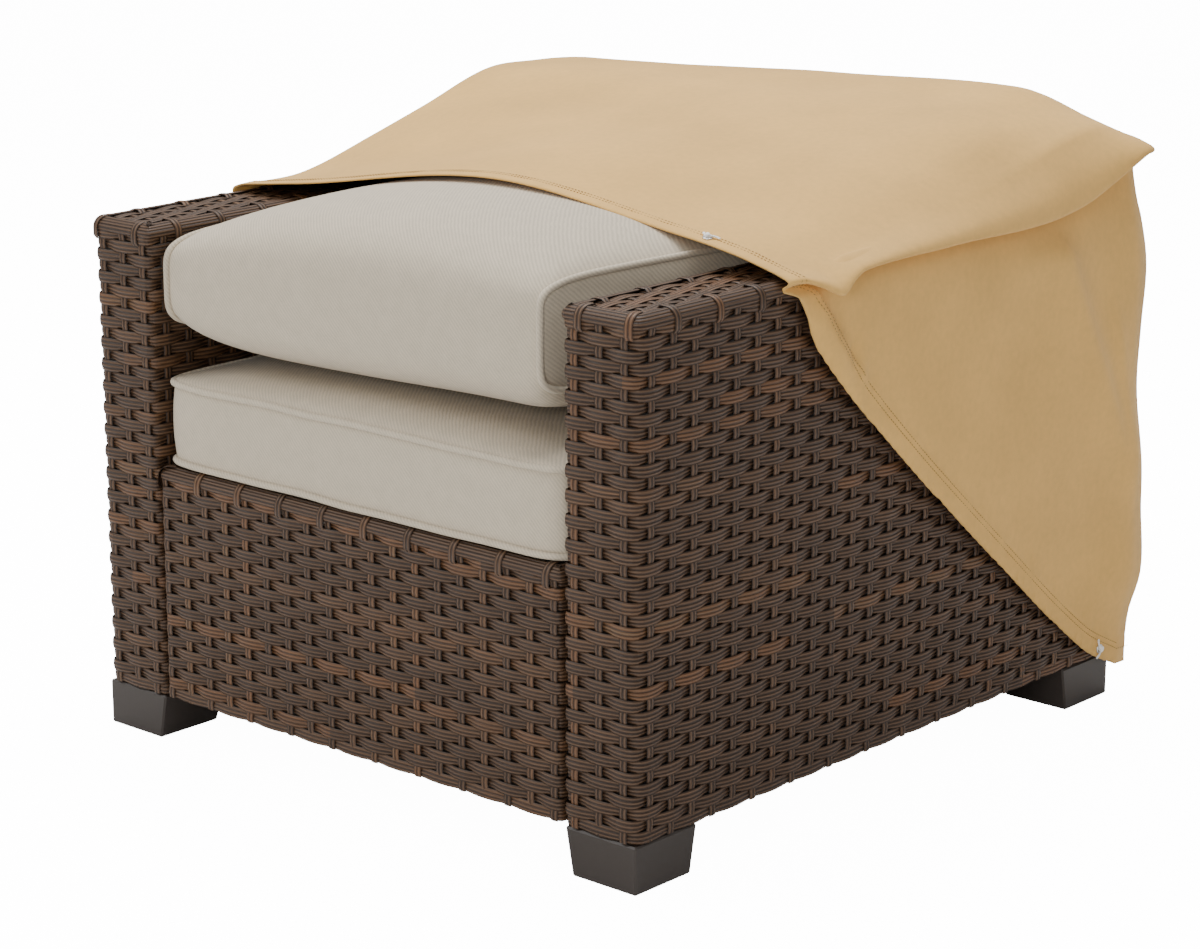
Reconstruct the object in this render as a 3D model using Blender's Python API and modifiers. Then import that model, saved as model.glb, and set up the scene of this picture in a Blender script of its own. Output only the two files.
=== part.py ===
"""An outdoor chair cover, drawn half back over the wicker armchair and the two cushions that it fits.

Metres, +Z up, the chair's front towards -Y and its right arm, as seen from the front, towards +X.
Sizes are given from the middle of the chair's footprint, and CHAIR_CENTRE then sets the whole of it down with
its bounding box centred.
"""

import math

import bmesh
import bpy
from mathutils import Matrix, Vector

COLLECTION = "chair_cover"
CHAIR_CENTRE = Vector((-0.008, -0.015, 0.0))
GAP = 0.0003

# The armchair
CHAIR_WIDTH = 0.820
CHAIR_DEPTH = 0.869
FRAME_BOTTOM = 0.053
ARM_WIDTH = 0.102
ARM_TOP = 0.602
SEAT_TOP = 0.328
BACK_FRONT = 0.250
BACK_TOP = 0.680
BACK_CORNER_RADIUS = 0.050
WICKER_EDGE_RADIUS = 0.014
FOOT_TOP_WIDTH = 0.097
FOOT_BOTTOM_WIDTH = 0.087
FOOT_INSET = 0.003

# The cushions: how far the middle of each face swells, and how far the sides draw in between the corners
SEAT_CUSHION_EDGE_HEIGHT = 0.100
SEAT_CUSHION_CROWN = 0.0226
TOP_CUSHION_MIDDLE = 0.550
TOP_CUSHION_EDGE_HEIGHT = 0.095
TOP_CUSHION_CROWN = 0.0575
TOP_CUSHION_BELLY = 0.050
TOP_CUSHION_TILT = 0.010
CUSHION_DRAW_IN = 0.008

# The cover: one cloth sheet, first a box open at the front and below, then draped
CLOTH_THICKNESS = 0.0016
COVER_HALF_WIDTH = 0.4155
COVER_FRONT = -0.210
COVER_BACK = 0.442
COVER_TOP = 0.700
COVER_HEM = 0.038
SIDE_HEM_START = 0.600
ROLL_LOW = 0.585
ROLL_RADIUS = 0.0135
CORNER_REACH = 0.075
PLEAT_REACH = 0.085

# How finely the sheet is cut before it is draped
COLUMNS_ACROSS = 18
COLUMNS_DEEP = 16
ROWS_DOWN = 11
ROLL_ROWS = (0.18, 0.34, 0.50, 0.62, 0.80)

# Height of the cloth on each section across it, from the front hem to the back edge
SECTION_X = (-0.402, -0.300, 0.000, 0.280, 0.350, 0.402)
TOP_SECTIONS = (
    # (y, left edge, inside left arm, middle, inside right arm, over right arm, right edge)
    (-0.210, 0.6085, 0.621, 0.662, 0.632, 0.621, 0.6085),
    (-0.110, 0.6110, 0.631, 0.673, 0.645, 0.633, 0.6150),
    (0.000, 0.6400, 0.656, 0.684, 0.667, 0.653, 0.6300),
    (0.100, 0.6690, 0.680, 0.696, 0.686, 0.671, 0.6430),
    (0.210, 0.7030, 0.706, 0.708, 0.706, 0.694, 0.6620),
    (0.300, 0.7040, 0.707, 0.711, 0.717, 0.704, 0.6840),
    (0.380, 0.6990, 0.701, 0.714, 0.726, 0.704, 0.6920),
    (0.442, 0.6880, 0.694, 0.709, 0.709, 0.690, 0.6740),
)

# The pleat along the right arm: the cloth rolls over the arm's edge, tucks back under, then hangs
PLEAT_STEPS = (0.0, 0.35, 0.55, 0.80, 1.0)
PLEAT_SECTIONS = (
    # (y, how far the lip stands out, height of the lip, height of the tucked crease)
    (-0.210, 0.000, 0.600, 0.5940),
    (-0.130, 0.004, 0.603, 0.6010),
    (-0.080, 0.013, 0.607, 0.6100),
    (0.050, 0.015, 0.607, 0.6120),
    (0.220, 0.015, 0.608, 0.6130),
    (0.300, 0.018, 0.620, 0.6170),
    (0.360, 0.027, 0.643, 0.6230),
    (0.405, 0.036, 0.664, 0.6300),
    (0.442, 0.018, 0.657, 0.6300),
)

# How far the hem of each side hangs below the straight line between its ends
HEM_SAG = (
    # (y, drop)
    (-0.210, 0.000),
    (-0.159, 0.034),
    (0.000, 0.048),
    (0.174, 0.042),
    (0.366, 0.026),
    (0.442, 0.000),
)

# How far the loose cloth stands out at the two back corners
CORNER_FOLDS = (
    # (z, stand-out)
    (0.030, 0.004),
    (0.100, 0.008),
    (0.150, 0.022),
    (0.210, 0.020),
    (0.300, 0.008),
    (0.370, 0.003),
    (0.450, 0.009),
    (0.530, 0.016),
    (0.600, 0.002),
)

# Eyelets and the short ties knotted through them
EYELET_RADIUS = 0.0046
EYELET_WIRE_RADIUS = 0.0012
KNOT_SIZE = Vector((0.0052, 0.0034, 0.0030))
FRONT_EYELET_X = 0.310
FRONT_EYELET_Y = -0.197
SIDE_EYELET_Y = 0.402
EYELET_INSET = 0.012


def clear_scene():
    for obj in list(bpy.data.objects):
        bpy.data.objects.remove(obj, do_unlink=True)


def new_material(name, colour, roughness, metallic=0.0):
    """A finish of one colour."""
    material = bpy.data.materials.new(name)
    material.use_nodes = True
    shader = material.node_tree.nodes["Principled BSDF"]
    shader.inputs["Base Color"].default_value = (*colour, 1.0)
    shader.inputs["Roughness"].default_value = roughness
    shader.inputs["Metallic"].default_value = metallic
    material.diffuse_color = (*colour, 1.0)
    return material


def new_part(name, bm, material, collection):
    """An object that holds the mesh, set down round the chair's centre."""
    mesh = bpy.data.meshes.new(name)
    bm.to_mesh(mesh)
    bm.free()
    mesh.materials.append(material)
    obj = bpy.data.objects.new(name, mesh)
    obj.location = CHAIR_CENTRE
    collection.objects.link(obj)
    return obj


def box_between(low, high):
    """A bmesh box with these two corners."""
    size = Vector(high) - Vector(low)
    middle = (Vector(high) + Vector(low)) / 2
    bm = bmesh.new()
    bmesh.ops.create_cube(bm, size=1.0, matrix=Matrix.Translation(middle) @ Matrix.Diagonal((*size, 1.0)))
    return bm


def cut_loops(bm, axis, places):
    """Cuts a loop of edges across the whole mesh at each place along the axis."""
    normal = Vector((0.0, 0.0, 0.0))
    normal[axis] = 1.0
    for place in places:
        geometry = bm.verts[:] + bm.edges[:] + bm.faces[:]
        bmesh.ops.bisect_plane(bm, geom=geometry, plane_co=normal * place, plane_no=normal)


def evenly(low, high, count):
    """The places between two ends that split the span into count equal steps."""
    return [low + (high - low) * step / count for step in range(1, count)]


def curve_at(knots, values, place):
    """The value at a place on a smooth curve through the values at the knots."""
    place = min(max(place, knots[0]), knots[-1])
    slopes = [
        (values[min(i + 1, len(knots) - 1)] - values[max(i - 1, 0)])
        / (knots[min(i + 1, len(knots) - 1)] - knots[max(i - 1, 0)])
        for i in range(len(knots))
    ]
    i = max(j for j in range(len(knots) - 1) if knots[j] <= place)
    span = knots[i + 1] - knots[i]
    t = (place - knots[i]) / span
    between = (1 + 2 * t) * (1 - t) ** 2 * values[i] + t * t * (3 - 2 * t) * values[i + 1]
    return between + span * t * (1 - t) * ((1 - t) * slopes[i] - t * slopes[i + 1])


def column_at(table, column, place):
    """The value at a place of one column of a table whose first column holds the places."""
    return curve_at([row[0] for row in table], [row[column] for row in table], place)


def smooth_step(low, high, value):
    """0 up to low and 1 from high on, with a smooth rise between."""
    t = min(max((value - low) / (high - low), 0.0), 1.0)
    return t * t * (3 - 2 * t)


def round_edges(obj, radius, segments):
    """Rounds the object's sharp edges."""
    bevel = obj.modifiers.new("rounded edges", "BEVEL")
    bevel.width = radius
    bevel.segments = segments
    bevel.limit_method = "ANGLE"
    bevel.angle_limit = math.radians(40)


def build_arm(name, side, material, collection):
    """One arm: a woven slab from the frame's bottom to the arm rest, on the side +1 or -1."""
    outer = side * CHAIR_WIDTH / 2
    inner = side * (CHAIR_WIDTH / 2 - ARM_WIDTH)
    low = (min(inner, outer), -CHAIR_DEPTH / 2, FRAME_BOTTOM)
    high = (max(inner, outer), BACK_FRONT - GAP, ARM_TOP)
    arm = new_part(name, box_between(low, high), material, collection)
    round_edges(arm, WICKER_EDGE_RADIUS, 3)


def build_seat_base(material, collection):
    """The woven box under the seat cushion, between the arms."""
    half = CHAIR_WIDTH / 2 - ARM_WIDTH - GAP
    low = (-half, -CHAIR_DEPTH / 2 + 0.001, FRAME_BOTTOM)
    high = (half, BACK_FRONT - GAP, SEAT_TOP)
    base = new_part("seat_base", box_between(low, high), material, collection)
    round_edges(base, WICKER_EDGE_RADIUS / 2, 2)


def build_backrest(material, collection):
    """The full-width back, with rounded shoulders."""
    half = CHAIR_WIDTH / 2
    bm = box_between((-half, BACK_FRONT, FRAME_BOTTOM), (half, CHAIR_DEPTH / 2, BACK_TOP))
    shoulders = [
        edge
        for edge in bm.edges
        if all(vert.co.z > BACK_TOP - GAP for vert in edge.verts)
        and abs(edge.verts[0].co.y - edge.verts[1].co.y) > GAP
    ]
    bmesh.ops.bevel(bm, geom=shoulders, offset=BACK_CORNER_RADIUS, segments=5, profile=0.5, affect="EDGES")
    backrest = new_part("backrest", bm, material, collection)
    round_edges(backrest, WICKER_EDGE_RADIUS, 3)


def build_foot(name, side_x, side_y, material, collection):
    """A block foot under one corner, with upright outer faces and inner faces that taper downwards."""
    outer = Vector((side_x * (CHAIR_WIDTH / 2 - FOOT_INSET), side_y * (CHAIR_DEPTH / 2 - FOOT_INSET), 0.0))
    inner = outer - Vector((side_x * FOOT_TOP_WIDTH, side_y * FOOT_TOP_WIDTH, 0.0))
    low = (min(outer.x, inner.x), min(outer.y, inner.y), 0.0)
    high = (max(outer.x, inner.x), max(outer.y, inner.y), FRAME_BOTTOM - GAP)
    bm = box_between(low, high)
    taper = FOOT_TOP_WIDTH - FOOT_BOTTOM_WIDTH
    for vert in bm.verts:
        if vert.co.z < GAP and abs(vert.co.x - inner.x) < GAP:
            vert.co.x += side_x * taper
        if vert.co.z < GAP and abs(vert.co.y - inner.y) < GAP:
            vert.co.y += side_y * taper
    foot = new_part(name, bm, material, collection)
    round_edges(foot, 0.002, 1)


def build_cushion(name, low, high, crown, belly, tilt, material, collection):
    """A filled cushion: its faces swell between the seams, and its sides draw in between the corners."""
    bm = box_between(low, high)
    cut_loops(bm, 0, evenly(low[0], high[0], 12))
    cut_loops(bm, 1, evenly(low[1], high[1], 10))
    cut_loops(bm, 2, evenly(low[2], high[2], 4))
    middle = (Vector(low) + Vector(high)) / 2
    half = (Vector(high) - Vector(low)) / 2
    for vert in bm.verts:
        u, v, w = ((vert.co[i] - middle[i]) / half[i] for i in range(3))
        deep = max(1 - v**6, 0.0) ** 0.5
        rise = crown * max(1 - u * u, 0.0) ** 0.8 if w > 0 else belly * max(1 - u**4, 0.0) ** 0.5
        vert.co.z += w * rise * deep + tilt * u
        vert.co.x -= math.copysign(CUSHION_DRAW_IN * (1 - v * v) * abs(u) ** 3, u)
        vert.co.y -= math.copysign(CUSHION_DRAW_IN * (1 - u * u) * abs(v) ** 3, v) if v > 0 else 0.0
    cushion = new_part(name, bm, material, collection)
    round_edges(cushion, 0.008, 2)


def build_cushions(material, collection):
    """The flat seat cushion and, above it, the plump top cushion."""
    half = CHAIR_WIDTH / 2 - ARM_WIDTH
    front = -CHAIR_DEPTH / 2
    back = BACK_FRONT - GAP
    seat_low = SEAT_TOP + GAP
    seat_high = seat_low + SEAT_CUSHION_EDGE_HEIGHT
    build_cushion(
        "seat_cushion",
        (-half, front + 0.010, seat_low),
        (half, back, seat_high),
        SEAT_CUSHION_CROWN,
        0.0,
        0.0,
        material,
        collection,
    )
    top_low = TOP_CUSHION_MIDDLE - TOP_CUSHION_EDGE_HEIGHT / 2
    build_cushion(
        "top_cushion",
        (-half, front + 0.012, top_low),
        (half, back, top_low + TOP_CUSHION_EDGE_HEIGHT),
        TOP_CUSHION_CROWN,
        TOP_CUSHION_BELLY,
        TOP_CUSHION_TILT,
        material,
        collection,
    )


def top_height(x, y):
    """Height of the cloth over a point of the chair's top."""
    row = [column_at(TOP_SECTIONS, column, y) for column in range(1, len(SECTION_X) + 1)]
    return curve_at(SECTION_X, row, x)


def pleat_point(step, y, top):
    """(x, z) of the right arm's pleat at a step from 0, on the cloth's top, to 1, on the wall."""
    lip_out = column_at(PLEAT_SECTIONS, 1, y)
    lip_z = column_at(PLEAT_SECTIONS, 2, y)
    crease_z = column_at(PLEAT_SECTIONS, 3, y)
    across = (
        COVER_HALF_WIDTH - ROLL_RADIUS,
        COVER_HALF_WIDTH + 0.85 * lip_out,
        COVER_HALF_WIDTH + lip_out,
        COVER_HALF_WIDTH - 0.001,
        COVER_HALF_WIDTH + 0.002,
    )
    heights = (top, 0.4 * top + 0.6 * lip_z, lip_z, crease_z, ROLL_LOW)
    return curve_at(PLEAT_STEPS, across, step), curve_at(PLEAT_STEPS, heights, step)


def wall_stand_out(y, z):
    """How far a side wall stands out, with a soft ridge that runs back and down from the arm's rear."""
    slack = 0.006 * math.sin(math.pi * smooth_step(COVER_HEM, ROLL_LOW, z))
    ridge_y = 0.270 + 0.52 * (ROLL_LOW - z)
    ridge = 0.007 * math.exp(-(((y - ridge_y) / 0.030) ** 2)) * smooth_step(0.30, 0.45, z)
    return slack + ridge


def back_stand_out(x, z):
    """How far the back wall stands out in shallow upright folds, deeper towards its hem."""
    depth = 0.001 + 0.006 * smooth_step(ROLL_LOW, COVER_HEM, z)
    return depth * (1 + math.cos(2 * math.pi * x / 0.19 + 0.6))


def draped(place):
    """Where a point of the box-shaped cover lies once it is draped."""
    side = math.copysign(1.0, place.x)
    on_side = abs(place.x) > COVER_HALF_WIDTH - GAP
    on_back = place.y > COVER_BACK - GAP
    x = place.x * (COVER_HALF_WIDTH - ROLL_RADIUS) / COVER_HALF_WIDTH
    y = COVER_FRONT + (place.y - COVER_FRONT) * (1 - ROLL_RADIUS / (COVER_BACK - COVER_FRONT))
    step = min((COVER_TOP - place.z) / (COVER_TOP - ROLL_LOW), 1.0)
    top = top_height(x, y)
    z = top + (ROLL_LOW - top) * step if place.z > ROLL_LOW else place.z
    rolled = ROLL_RADIUS * math.sin(min(step / 0.3, 1.0) * math.pi / 2)

    if place.z < ROLL_LOW:
        fall = (place.y - COVER_FRONT) / (COVER_BACK - COVER_FRONT)
        line = SIDE_HEM_START + (COVER_HEM - SIDE_HEM_START) * fall
        share = (ROLL_LOW - place.z) / max(ROLL_LOW - line, 0.02)
        z -= column_at(HEM_SAG, 1, place.y) * min(share, 1.0)
    if on_side:
        x = side * (COVER_HALF_WIDTH - ROLL_RADIUS + rolled)
    if on_back:
        y += rolled + back_stand_out(x, z) * smooth_step(0.0, 1.0, step)
    if side > 0 and place.z > ROLL_LOW and (on_side or on_back):
        pleat_x, pleat_z = pleat_point(step, y, top)
        edge_x = COVER_HALF_WIDTH - ROLL_RADIUS
        share = 1.0 if on_side else smooth_step(COVER_HALF_WIDTH - PLEAT_REACH, edge_x, x)
        x += share * (pleat_x - (edge_x + rolled))
        z += share * (pleat_z - z)
    elif on_side:
        x += side * wall_stand_out(y, z) * smooth_step(ROLL_LOW, ROLL_LOW - 0.04, z)
        x += side * 0.002 * step

    from_side = 0.0 if on_side else COVER_HALF_WIDTH - abs(x)
    from_back = 0.0 if on_back else COVER_BACK - y
    if on_side or on_back:
        reach = math.exp(-(((from_side + from_back) / CORNER_REACH) ** 2)) * smooth_step(0.4, 1.0, step)
        fold = reach * column_at(CORNER_FOLDS, 1, z)
        x += side * fold * 0.7
        y += fold * 0.5 if on_back else 0.0
    return Vector((x, y, z))


def hem_cut(bm):
    """Cuts the box along the slanting plane of the side hems, and keeps what is above and behind it."""
    start = Vector((0.0, COVER_FRONT, SIDE_HEM_START))
    along = Vector((0.0, COVER_BACK, COVER_HEM)) - start
    normal = Vector((1.0, 0.0, 0.0)).cross(along).normalized()
    geometry = bm.verts[:] + bm.edges[:] + bm.faces[:]
    for vert in bm.verts:
        off = (vert.co - start).dot(normal)
        if abs(off) < 0.009 and vert.co.z < SIDE_HEM_START:
            vert.co -= normal * off
    bmesh.ops.bisect_plane(
        bm, geom=geometry, dist=0.00001, plane_co=start, plane_no=normal, clear_inner=True
    )


def build_cover(material, collection):
    """The cover: a box open at the front and below, cut along its hems, draped and given its thickness."""
    low = (-COVER_HALF_WIDTH, COVER_FRONT, COVER_HEM)
    high = (COVER_HALF_WIDTH, COVER_BACK, COVER_TOP)
    bm = box_between(low, high)
    cut_loops(bm, 0, evenly(low[0], high[0], COLUMNS_ACROSS))
    cut_loops(bm, 1, evenly(low[1], high[1], COLUMNS_DEEP))
    cut_loops(bm, 2, evenly(COVER_HEM, ROLL_LOW, ROWS_DOWN))
    cut_loops(bm, 2, [COVER_TOP - (COVER_TOP - ROLL_LOW) * step for step in (*ROLL_ROWS, 1.0)])
    open_faces = [
        face
        for face in bm.faces
        if all(vert.co.z < COVER_HEM + GAP for vert in face.verts)
        or all(vert.co.y < COVER_FRONT + GAP for vert in face.verts)
    ]
    bmesh.ops.delete(bm, geom=open_faces, context="FACES")
    hem_cut(bm)
    for vert in bm.verts:
        vert.co = draped(vert.co)
    bmesh.ops.recalc_face_normals(bm, faces=bm.faces[:])
    cover = new_part("cover", bm, material, collection)
    shell = cover.modifiers.new("cloth thickness", "SOLIDIFY")
    shell.thickness = CLOTH_THICKNESS
    shell.offset = 0.0
    shell.use_even_offset = True


def surface_frame(surface, first, second):
    """A matrix standing on a surface, given as a function of two values, with Z along its outward normal."""
    small = 0.004
    here = surface(first, second)
    along = surface(first + small, second) - here
    across = surface(first, second + small) - here
    normal = along.cross(across).normalized()
    side = along.normalized()
    forward = normal.cross(side)
    return Matrix((side, forward, normal)).transposed().to_4x4(), here, normal


def build_eyelet(name, surface, first, second, metal, cord, collection):
    """A metal eyelet on the cloth and the short tie knotted through it."""
    turn, here, normal = surface_frame(surface, first, second)
    lift = CLOTH_THICKNESS / 2 + EYELET_WIRE_RADIUS + GAP
    centre = here + normal * lift
    bpy.ops.mesh.primitive_torus_add(
        major_radius=EYELET_RADIUS,
        minor_radius=EYELET_WIRE_RADIUS,
        major_segments=16,
        minor_segments=8,
    )
    ring = bpy.context.object
    ring.name = f"{name}_eyelet"
    ring.data.name = ring.name
    ring.matrix_world = Matrix.Translation(CHAIR_CENTRE + centre) @ turn
    ring.data.materials.append(metal)
    for owner in list(ring.users_collection):
        owner.objects.unlink(ring)
    collection.objects.link(ring)

    bm = bmesh.new()
    bmesh.ops.create_uvsphere(bm, u_segments=12, v_segments=8, radius=1.0)
    knot_rise = KNOT_SIZE.z + GAP
    bmesh.ops.transform(bm, matrix=Matrix.Diagonal((*KNOT_SIZE, 1.0)), verts=bm.verts)
    place = Matrix.Translation(centre + normal * knot_rise) @ turn
    bmesh.ops.transform(bm, matrix=place, verts=bm.verts)
    new_part(f"{name}_tie", bm, cord, collection)


def top_surface(x, y):
    """A point of the cover's top."""
    return Vector((x, y, top_height(x, y)))


def side_surface(y, z):
    """A point of the cover's right side, from its place on the box-shaped cover."""
    return draped(Vector((COVER_HALF_WIDTH, y, z)))


def main():
    clear_scene()
    collection = bpy.data.collections.new(COLLECTION)
    bpy.context.scene.collection.children.link(collection)

    wicker = new_material("wicker", (0.075, 0.045, 0.032), 0.50)
    foot_finish = new_material("foot", (0.045, 0.036, 0.031), 0.45)
    cushion_cloth = new_material("cushion_cloth", (0.58, 0.53, 0.45), 0.90)
    cover_cloth = new_material("cover_cloth", (0.60, 0.43, 0.22), 0.82)
    eyelet_metal = new_material("eyelet_metal", (0.70, 0.69, 0.66), 0.30, 1.0)
    tie_cord = new_material("tie_cord", (0.80, 0.79, 0.75), 0.80)

    build_arm("arm_left", -1, wicker, collection)
    build_arm("arm_right", 1, wicker, collection)
    build_seat_base(wicker, collection)
    build_backrest(wicker, collection)
    for place_y, side_y in (("front", -1), ("back", 1)):
        for place_x, side_x in (("left", -1), ("right", 1)):
            build_foot(f"foot_{place_y}_{place_x}", side_x, side_y, foot_finish, collection)
    build_cushions(cushion_cloth, collection)
    build_cover(cover_cloth, collection)
    build_eyelet("front", top_surface, FRONT_EYELET_X, FRONT_EYELET_Y, eyelet_metal, tie_cord, collection)
    fall = (COVER_BACK - SIDE_EYELET_Y) / (COVER_BACK - COVER_FRONT)
    line_at_eyelet = COVER_HEM + (SIDE_HEM_START - COVER_HEM) * fall
    build_eyelet(
        "side", side_surface, SIDE_EYELET_Y, line_at_eyelet + EYELET_INSET, eyelet_metal, tie_cord, collection
    )


main()
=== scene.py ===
"""An outdoor chair cover, drawn half back over its woven armchair and two cushions: the dressed model.

Metres, +Z up, the chair's front towards -Y. Sizes are given from the middle of the chair's footprint, and
CHAIR_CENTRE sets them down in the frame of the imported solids.
"""

import math
import random

import bmesh
import bpy
from bpy.props import FloatProperty, FloatVectorProperty, PointerProperty
from mathutils import Matrix, Vector, noise


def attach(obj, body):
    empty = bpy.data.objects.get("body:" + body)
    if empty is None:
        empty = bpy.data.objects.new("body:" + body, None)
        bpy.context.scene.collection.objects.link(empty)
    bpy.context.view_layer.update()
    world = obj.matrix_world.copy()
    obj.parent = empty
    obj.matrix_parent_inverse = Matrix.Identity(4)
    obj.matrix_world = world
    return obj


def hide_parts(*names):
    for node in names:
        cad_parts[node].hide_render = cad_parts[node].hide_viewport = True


bl_info = {
    "name": "Chair cover",
    "version": (1, 0, 0),
    "blender": (4, 5, 0),
    "location": "3D View > Sidebar > Chair cover",
    "description": "Drapes an outdoor chair cover over a woven armchair",
    "category": "Object",
}

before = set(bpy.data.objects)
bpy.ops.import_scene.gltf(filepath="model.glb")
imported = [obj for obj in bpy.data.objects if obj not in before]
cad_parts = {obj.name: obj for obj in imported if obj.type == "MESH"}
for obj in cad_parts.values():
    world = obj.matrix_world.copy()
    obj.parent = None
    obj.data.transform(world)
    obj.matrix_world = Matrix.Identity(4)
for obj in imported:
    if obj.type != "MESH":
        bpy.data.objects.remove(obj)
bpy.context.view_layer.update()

CHAIR_CENTRE = Vector((-0.008, -0.015, 0.0))
UP = Vector((0.0, 0.0, 1.0))

# The armchair
CHAIR_WIDTH = 0.820
CHAIR_DEPTH = 0.869
FRAME_BOTTOM = 0.053
ARM_WIDTH = 0.102
ARM_TOP = 0.602
SEAT_TOP = 0.328
BACK_FRONT = 0.250
BACK_TOP = 0.680
SHOULDER_RADIUS = 0.050
CORNER_RADIUS = 0.017
INNER_CORNER_RADIUS = 0.006
BORDER_RADIUS = 0.012
WEAVE_BOTTOM = FRAME_BOTTOM + 0.001
BACKING_BOTTOM = FRAME_BOTTOM + 0.0005
UNDER_BORDER = BORDER_RADIUS - 0.002

# The weave
STRAND_SWING = 0.0025
STAKE_SWING = 0.0008
STAKE_LIFT = 0.0007
TOP_SWING = 0.0012
STRAND_CROWN = 0.0012
BACKING_DEPTH = 0.0066
STRIDE_STEPS = 6
ROW_FILL = 0.525
BOTTOM_ROW_SWING = 0.35
STAKE_HALF_WIDTH = 0.0052
STRAND_STAKES = (8, 26)
BORDER_STRANDS = ((-12, 46), (44, 102))
BORDER_STEP = 0.006
WRAP_HALF_WIDTH = 0.0050
WRAP_EVERY = 11
WRAP_FROM = 5
ARM_REST_STRANDS = 6
ARM_REST_MARGIN = 0.013
ARM_REST_START = 0.010
ARM_REST_SINK = TOP_SWING + 0.001

# The cushions
SEAT_CUSHION_HEIGHT = 0.100
SEAT_CUSHION_CROWN = 0.0226
TOP_CUSHION_MIDDLE = 0.550
TOP_CUSHION_HEIGHT = 0.095
TOP_CUSHION_CROWN = 0.0575
TOP_CUSHION_BELLY = 0.050
TOP_CUSHION_TILT = 0.010
CUSHION_DRAW_IN = 0.008

# The cover
COVER_HALF_WIDTH = 0.4155
COVER_FRONT = -0.210
COVER_BACK = 0.442
COVER_TOP = 0.700
COVER_HEM = 0.038
SIDE_HEM_START = 0.600
ROLL_LOW = 0.585
ROLL_RADIUS = 0.0135
CORNER_REACH = 0.075
PLEAT_REACH = 0.085
GAP = 0.0003
HEM_LIFT = 0.0008
PUCKER_HEIGHT = 0.0011
PUCKER_REACH = 0.016
SLACK_HEIGHT = 0.0014
WALL_SLACK = 0.006
CLOTH_ACROSS = 92
CLOTH_DEEP = 104
CLOTH_DOWN = 48
ROLL_STEPS = 30

SECTION_X = (-0.402, -0.300, 0.000, 0.280, 0.350, 0.402)
TOP_SECTIONS = (
    # (y, left edge, inside left arm, middle, inside right arm, over right arm, right edge)
    (-0.210, 0.6085, 0.621, 0.662, 0.632, 0.621, 0.6085),
    (-0.110, 0.6110, 0.631, 0.673, 0.645, 0.633, 0.6150),
    (0.000, 0.6400, 0.656, 0.684, 0.667, 0.653, 0.6300),
    (0.100, 0.6690, 0.680, 0.696, 0.686, 0.671, 0.6430),
    (0.210, 0.7030, 0.706, 0.708, 0.706, 0.694, 0.6620),
    (0.300, 0.7040, 0.707, 0.711, 0.717, 0.704, 0.6840),
    (0.380, 0.6990, 0.701, 0.714, 0.726, 0.704, 0.6920),
    (0.442, 0.6880, 0.694, 0.709, 0.709, 0.690, 0.6740),
)
PLEAT_STEPS = (0.0, 0.35, 0.55, 0.80, 1.0)
PLEAT_SECTIONS = (
    # (y, how far the lip stands out, height of the lip, height of the tucked crease)
    (-0.210, 0.000, 0.600, 0.5940),
    (-0.190, 0.007, 0.602, 0.5960),
    (-0.170, 0.019, 0.594, 0.5980),
    (-0.151, 0.027, 0.584, 0.5990),
    (-0.132, 0.024, 0.596, 0.6100),
    (-0.105, 0.021, 0.605, 0.6170),
    (0.050, 0.020, 0.606, 0.6180),
    (0.220, 0.020, 0.605, 0.6180),
    (0.300, 0.021, 0.616, 0.6250),
    (0.360, 0.027, 0.640, 0.6390),
    (0.405, 0.036, 0.664, 0.6480),
    (0.442, 0.018, 0.657, 0.6480),
)
HEM_SAG = (
    # (y, drop)
    (-0.210, 0.000),
    (-0.159, 0.034),
    (0.000, 0.048),
    (0.174, 0.042),
    (0.366, 0.026),
    (0.442, 0.000),
)
RIGHT_FOLDS = (
    # (height, y at the top, lean back, reach in front and behind, z of its foot, where it is full, its head,
    # and where it is full below the head)
    (0.0190, 0.268, 0.48, 0.090, 0.030, 0.22, 0.38, 1.00, 0.90),
    (0.0075, 0.365, 0.20, 0.012, 0.020, 0.22, 0.30, 0.52, 0.43),
)
CORNER_FOLDS = (
    # (z, stand-out)
    (0.030, 0.004),
    (0.100, 0.008),
    (0.150, 0.022),
    (0.210, 0.020),
    (0.300, 0.008),
    (0.370, 0.003),
    (0.450, 0.009),
    (0.530, 0.016),
    (0.600, 0.002),
)

# Eyelets and ties
EYELET_RADIUS = 0.0046
EYELET_WIRE_RADIUS = 0.0012
FRONT_EYELET_X = 0.310
FRONT_EYELET_Y = -0.197
SIDE_EYELET_Y = 0.402
EYELET_INSET = 0.012

# Yarns per metre
COVER_YARNS = 1400.0
CUSHION_YARNS = 700.0

# The camera: its place, and its right and up directions
CAMERA_PLACE = Vector((2.4467, -2.8046, 1.2782))
CAMERA_RIGHT = Vector((0.7474, 0.6643, 0.0))
CAMERA_UP = Vector((-0.1714, 0.1928, 0.9661))
CAMERA_LENS = 98.905


# Curves and steps


def curve_at(knots, values, place):
    """The value at a place on a smooth curve through the values at the knots."""
    place = min(max(place, knots[0]), knots[-1])
    last = len(knots) - 1
    i = max(j for j in range(last) if knots[j] <= place)

    def slope(j):
        low, high = max(j - 1, 0), min(j + 1, last)
        return (values[high] - values[low]) / (knots[high] - knots[low])

    span = knots[i + 1] - knots[i]
    t = (place - knots[i]) / span
    through = (1 + 2 * t) * (1 - t) ** 2 * values[i] + t * t * (3 - 2 * t) * values[i + 1]
    return through + span * t * (1 - t) * ((1 - t) * slope(i) - t * slope(i + 1))


def column_at(table, column, place):
    return curve_at([row[0] for row in table], [row[column] for row in table], place)


def smooth_step(low, high, value):
    t = min(max((value - low) / (high - low), 0.0), 1.0)
    return t * t * (3 - 2 * t)


def bell(distance, width):
    """A soft bump: 1 in its middle, fading over its width."""
    return math.exp(-((distance / width) ** 2))


def evenly(low, high, count):
    return [low + (high - low) * step / count for step in range(1, count)]


# Meshes


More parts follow.
